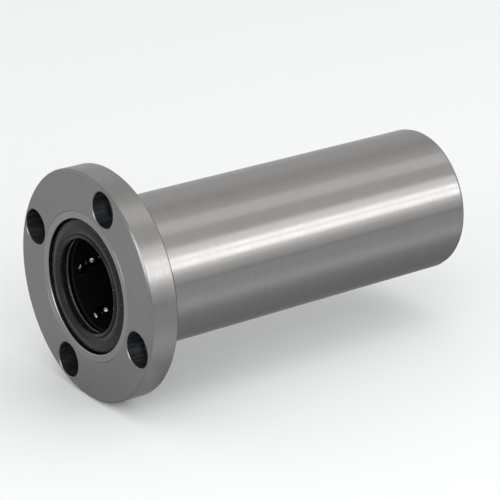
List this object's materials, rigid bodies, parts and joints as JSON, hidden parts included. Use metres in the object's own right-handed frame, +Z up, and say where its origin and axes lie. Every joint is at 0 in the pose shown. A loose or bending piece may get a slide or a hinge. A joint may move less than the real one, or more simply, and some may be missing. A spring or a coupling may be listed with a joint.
{
  "type": "flanged linear ball bushing",
  "caption": "Long round-flanged linear ball bushing: a ground steel cylinder with recirculating balls in resin cages, wiping seals, and a bolt-on flange at one end, for a round shaft.",
  "frame": {"origin": "on the bushing's axis, in the flange's mounting face (the face towards the long end)", "axes": "+X along the axis from the flange towards the rear end, +Z up"},
  "size_m": [0.112, 0.062, 0.062],
  "materials": {
    "ground_bearing_steel": "centreless ground, bright",
    "turned_steel": "fine turned, satin",
    "black_cage_resin": "moulded, matt",
    "seal_rubber": "moulded nitrile rubber, satin",
    "pressed_steel": "pressed sheet",
    "spring_steel": "phosphated spring steel",
    "polished_ball_steel": "lapped, mirror bright"
  },
  "bodies": {
    "bushing": {"outer_cylinder": "ground_bearing_steel", "flange": "turned_steel", "front_cage": "black_cage_resin", "rear_cage": "black_cage_resin", "cage_spacer": "black_cage_resin", "front_seal": "seal_rubber", "front_seal_insert": "pressed_steel", "front_retaining_ring": "spring_steel", "rear_seal": "seal_rubber", "rear_seal_insert": "pressed_steel", "rear_retaining_ring": "spring_steel"},
    "loaded_rows": {"front_loaded_balls_1": "polished_ball_steel", "front_loaded_balls_2": "polished_ball_steel", "front_loaded_balls_3": "polished_ball_steel", "front_loaded_balls_4": "polished_ball_steel", "front_loaded_balls_5": "polished_ball_steel", "front_loaded_balls_6": "polished_ball_steel", "rear_loaded_balls_1": "polished_ball_steel", "rear_loaded_balls_2": "polished_ball_steel", "rear_loaded_balls_3": "polished_ball_steel", "rear_loaded_balls_4": "polished_ball_steel", "rear_loaded_balls_5": "polished_ball_steel", "rear_loaded_balls_6": "polished_ball_steel"},
    "return_rows": {"front_return_balls_1": "polished_ball_steel", "front_return_balls_2": "polished_ball_steel", "front_return_balls_3": "polished_ball_steel", "front_return_balls_4": "polished_ball_steel", "front_return_balls_5": "polished_ball_steel", "front_return_balls_6": "polished_ball_steel", "rear_return_balls_1": "polished_ball_steel", "rear_return_balls_2": "polished_ball_steel", "rear_return_balls_3": "polished_ball_steel", "rear_return_balls_4": "polished_ball_steel", "rear_return_balls_5": "polished_ball_steel", "rear_return_balls_6": "polished_ball_steel"},
    "front_cage_front_turn_1": {"front_cage_front_turn_balls_1": "polished_ball_steel"},
    "front_cage_front_turn_2": {"front_cage_front_turn_balls_2": "polished_ball_steel"},
    "front_cage_front_turn_3": {"front_cage_front_turn_balls_3": "polished_ball_steel"},
    "front_cage_front_turn_4": {"front_cage_front_turn_balls_4": "polished_ball_steel"},
    "front_cage_front_turn_5": {"front_cage_front_turn_balls_5": "polished_ball_steel"},
    "front_cage_front_turn_6": {"front_cage_front_turn_balls_6": "polished_ball_steel"},
    "front_cage_rear_turn_1": {"front_cage_rear_turn_balls_1": "polished_ball_steel"},
    "front_cage_rear_turn_2": {"front_cage_rear_turn_balls_2": "polished_ball_steel"},
    "front_cage_rear_turn_3": {"front_cage_rear_turn_balls_3": "polished_ball_steel"},
    "front_cage_rear_turn_4": {"front_cage_rear_turn_balls_4": "polished_ball_steel"},
    "front_cage_rear_turn_5": {"front_cage_rear_turn_balls_5": "polished_ball_steel"},
    "front_cage_rear_turn_6": {"front_cage_rear_turn_balls_6": "polished_ball_steel"},
    "rear_cage_front_turn_1": {"rear_cage_front_turn_balls_1": "polished_ball_steel"},
    "rear_cage_front_turn_2": {"rear_cage_front_turn_balls_2": "polished_ball_steel"},
    "rear_cage_front_turn_3": {"rear_cage_front_turn_balls_3": "polished_ball_steel"},
    "rear_cage_front_turn_4": {"rear_cage_front_turn_balls_4": "polished_ball_steel"},
    "rear_cage_front_turn_5": {"rear_cage_front_turn_balls_5": "polished_ball_steel"},
    "rear_cage_front_turn_6": {"rear_cage_front_turn_balls_6": "polished_ball_steel"},
    "rear_cage_rear_turn_1": {"rear_cage_rear_turn_balls_1": "polished_ball_steel"},
    "rear_cage_rear_turn_2": {"rear_cage_rear_turn_balls_2": "polished_ball_steel"},
    "rear_cage_rear_turn_3": {"rear_cage_rear_turn_balls_3": "polished_ball_steel"},
    "rear_cage_rear_turn_4": {"rear_cage_rear_turn_balls_4": "polished_ball_steel"},
    "rear_cage_rear_turn_5": {"rear_cage_rear_turn_balls_5": "polished_ball_steel"},
    "rear_cage_rear_turn_6": {"rear_cage_rear_turn_balls_6": "polished_ball_steel"}
  },
  "joints": [
    {"name": "ball_travel", "type": "slide", "parent": "bushing", "child": "loaded_rows", "axis": [1, 0, 0], "range_m": [-0.002, 0.002]},
    {"name": "ball_return", "type": "slide", "parent": "bushing", "child": "return_rows", "axis": [1, 0, 0], "range_m": [-0.002, 0.002]},
    {"name": "front_cage_front_turn_1_roll", "type": "hinge", "parent": "bushing", "child": "front_cage_front_turn_1", "pos_m": [0.00166, 0.01457, -0.00232], "axis": [0, 0.9994, 0.0349], "range_deg": [-45, 45]},
    {"name": "front_cage_front_turn_2_roll", "type": "hinge", "parent": "bushing", "child": "front_cage_front_turn_2", "pos_m": [0.00166, 0.0093, 0.01146], "axis": [0, 0.4695, 0.8829], "range_deg": [-45, 45]},
    {"name": "front_cage_front_turn_3_roll", "type": "hinge", "parent": "bushing", "child": "front_cage_front_turn_3", "pos_m": [0.00166, -0.00528, 0.01378], "axis": [0, -0.5299, 0.848], "range_deg": [-45, 45]},
    {"name": "front_cage_front_turn_4_roll", "type": "hinge", "parent": "bushing", "child": "front_cage_front_turn_4", "pos_m": [0.00166, -0.01457, 0.00232], "axis": [0, -0.9994, -0.0349], "range_deg": [-45, 45]},
    {"name": "front_cage_front_turn_5_roll", "type": "hinge", "parent": "bushing", "child": "front_cage_front_turn_5", "pos_m": [0.00166, -0.0093, -0.01146], "axis": [0, -0.4695, -0.8829], "range_deg": [-45, 45]},
    {"name": "front_cage_front_turn_6_roll", "type": "hinge", "parent": "bushing", "child": "front_cage_front_turn_6", "pos_m": [0.00166, 0.00528, -0.01378], "axis": [0, 0.5299, -0.848], "range_deg": [-45, 45]},
    {"name": "front_cage_rear_turn_1_roll", "type": "hinge", "parent": "bushing", "child": "front_cage_rear_turn_1", "pos_m": [0.04166, 0.01457, -0.00232], "axis": [0, 0.9994, 0.0349], "range_deg": [-45, 45]},
    {"name": "front_cage_rear_turn_2_roll", "type": "hinge", "parent": "bushing", "child": "front_cage_rear_turn_2", "pos_m": [0.04166, 0.0093, 0.01146], "axis": [0, 0.4695, 0.8829], "range_deg": [-45, 45]},
    {"name": "front_cage_rear_turn_3_roll", "type": "hinge", "parent": "bushing", "child": "front_cage_rear_turn_3", "pos_m": [0.04166, -0.00528, 0.01378], "axis": [0, -0.5299, 0.848], "range_deg": [-45, 45]},
    {"name": "front_cage_rear_turn_4_roll", "type": "hinge", "parent": "bushing", "child": "front_cage_rear_turn_4", "pos_m": [0.04166, -0.01457, 0.00232], "axis": [0, -0.9994, -0.0349], "range_deg": [-45, 45]},
    {"name": "front_cage_rear_turn_5_roll", "type": "hinge", "parent": "bushing", "child": "front_cage_rear_turn_5", "pos_m": [0.04166, -0.0093, -0.01146], "axis": [0, -0.4695, -0.8829], "range_deg": [-45, 45]},
    {"name": "front_cage_rear_turn_6_roll", "type": "hinge", "parent": "bushing", "child": "front_cage_rear_turn_6", "pos_m": [0.04166, 0.00528, -0.01378], "axis": [0, 0.5299, -0.848], "range_deg": [-45, 45]},
    {"name": "rear_cage_front_turn_1_roll", "type": "hinge", "parent": "bushing", "child": "rear_cage_front_turn_1", "pos_m": [0.05434, 0.01457, -0.00232], "axis": [0, 0.9994, 0.0349], "range_deg": [-45, 45]},
    {"name": "rear_cage_front_turn_2_roll", "type": "hinge", "parent": "bushing", "child": "rear_cage_front_turn_2", "pos_m": [0.05434, 0.0093, 0.01146], "axis": [0, 0.4695, 0.8829], "range_deg": [-45, 45]},
    {"name": "rear_cage_front_turn_3_roll", "type": "hinge", "parent": "bushing", "child": "rear_cage_front_turn_3", "pos_m": [0.05434, -0.00528, 0.01378], "axis": [0, -0.5299, 0.848], "range_deg": [-45, 45]},
    {"name": "rear_cage_front_turn_4_roll", "type": "hinge", "parent": "bushing", "child": "rear_cage_front_turn_4", "pos_m": [0.05434, -0.01457, 0.00232], "axis": [0, -0.9994, -0.0349], "range_deg": [-45, 45]},
    {"name": "rear_cage_front_turn_5_roll", "type": "hinge", "parent": "bushing", "child": "rear_cage_front_turn_5", "pos_m": [0.05434, -0.0093, -0.01146], "axis": [0, -0.4695, -0.8829], "range_deg": [-45, 45]},
    {"name": "rear_cage_front_turn_6_roll", "type": "hinge", "parent": "bushing", "child": "rear_cage_front_turn_6", "pos_m": [0.05434, 0.00528, -0.01378], "axis": [0, 0.5299, -0.848], "range_deg": [-45, 45]},
    {"name": "rear_cage_rear_turn_1_roll", "type": "hinge", "parent": "bushing", "child": "rear_cage_rear_turn_1", "pos_m": [0.09434, 0.01457, -0.00232], "axis": [0, 0.9994, 0.0349], "range_deg": [-45, 45]},
    {"name": "rear_cage_rear_turn_2_roll", "type": "hinge", "parent": "bushing", "child": "rear_cage_rear_turn_2", "pos_m": [0.09434, 0.0093, 0.01146], "axis": [0, 0.4695, 0.8829], "range_deg": [-45, 45]},
    {"name": "rear_cage_rear_turn_3_roll", "type": "hinge", "parent": "bushing", "child": "rear_cage_rear_turn_3", "pos_m": [0.09434, -0.00528, 0.01378], "axis": [0, -0.5299, 0.848], "range_deg": [-45, 45]},
    {"name": "rear_cage_rear_turn_4_roll", "type": "hinge", "parent": "bushing", "child": "rear_cage_rear_turn_4", "pos_m": [0.09434, -0.01457, 0.00232], "axis": [0, -0.9994, -0.0349], "range_deg": [-45, 45]},
    {"name": "rear_cage_rear_turn_5_roll", "type": "hinge", "parent": "bushing", "child": "rear_cage_rear_turn_5", "pos_m": [0.09434, -0.0093, -0.01146], "axis": [0, -0.4695, -0.8829], "range_deg": [-45, 45]},
    {"name": "rear_cage_rear_turn_6_roll", "type": "hinge", "parent": "bushing", "child": "rear_cage_rear_turn_6", "pos_m": [0.09434, 0.00528, -0.01378], "axis": [0, 0.5299, -0.848], "range_deg": [-45, 45]}
  ],
  "couplings": [
    {"joint": "ball_return", "follows": "ball_travel", "ratio": -1},
    {"joint": "front_cage_front_turn_1_roll", "follows": "ball_travel", "rad_per_m": 392.69},
    {"joint": "front_cage_front_turn_2_roll", "follows": "ball_travel", "rad_per_m": 392.69},
    {"joint": "front_cage_front_turn_3_roll", "follows": "ball_travel", "rad_per_m": 392.69},
    {"joint": "front_cage_front_turn_4_roll", "follows": "ball_travel", "rad_per_m": 392.69},
    {"joint": "front_cage_front_turn_5_roll", "follows": "ball_travel", "rad_per_m": 392.69},
    {"joint": "front_cage_front_turn_6_roll", "follows": "ball_travel", "rad_per_m": 392.69},
    {"joint": "front_cage_rear_turn_1_roll", "follows": "ball_travel", "rad_per_m": 392.69},
    {"joint": "front_cage_rear_turn_2_roll", "follows": "ball_travel", "rad_per_m": 392.69},
    {"joint": "front_cage_rear_turn_3_roll", "follows": "ball_travel", "rad_per_m": 392.69},
    {"joint": "front_cage_rear_turn_4_roll", "follows": "ball_travel", "rad_per_m": 392.69},
    {"joint": "front_cage_rear_turn_5_roll", "follows": "ball_travel", "rad_per_m": 392.69},
    {"joint": "front_cage_rear_turn_6_roll", "follows": "ball_travel", "rad_per_m": 392.69},
    {"joint": "rear_cage_front_turn_1_roll", "follows": "ball_travel", "rad_per_m": 392.69},
    {"joint": "rear_cage_front_turn_2_roll", "follows": "ball_travel", "rad_per_m": 392.69},
    {"joint": "rear_cage_front_turn_3_roll", "follows": "ball_travel", "rad_per_m": 392.69},
    {"joint": "rear_cage_front_turn_4_roll", "follows": "ball_travel", "rad_per_m": 392.69},
    {"joint": "rear_cage_front_turn_5_roll", "follows": "ball_travel", "rad_per_m": 392.69},
    {"joint": "rear_cage_front_turn_6_roll", "follows": "ball_travel", "rad_per_m": 392.69},
    {"joint": "rear_cage_rear_turn_1_roll", "follows": "ball_travel", "rad_per_m": 392.69},
    {"joint": "rear_cage_rear_turn_2_roll", "follows": "ball_travel", "rad_per_m": 392.69},
    {"joint": "rear_cage_rear_turn_3_roll", "follows": "ball_travel", "rad_per_m": 392.69},
    {"joint": "rear_cage_rear_turn_4_roll", "follows": "ball_travel", "rad_per_m": 392.69},
    {"joint": "rear_cage_rear_turn_5_roll", "follows": "ball_travel", "rad_per_m": 392.69},
    {"joint": "rear_cage_rear_turn_6_roll", "follows": "ball_travel", "rad_per_m": 392.69}
  ]
}
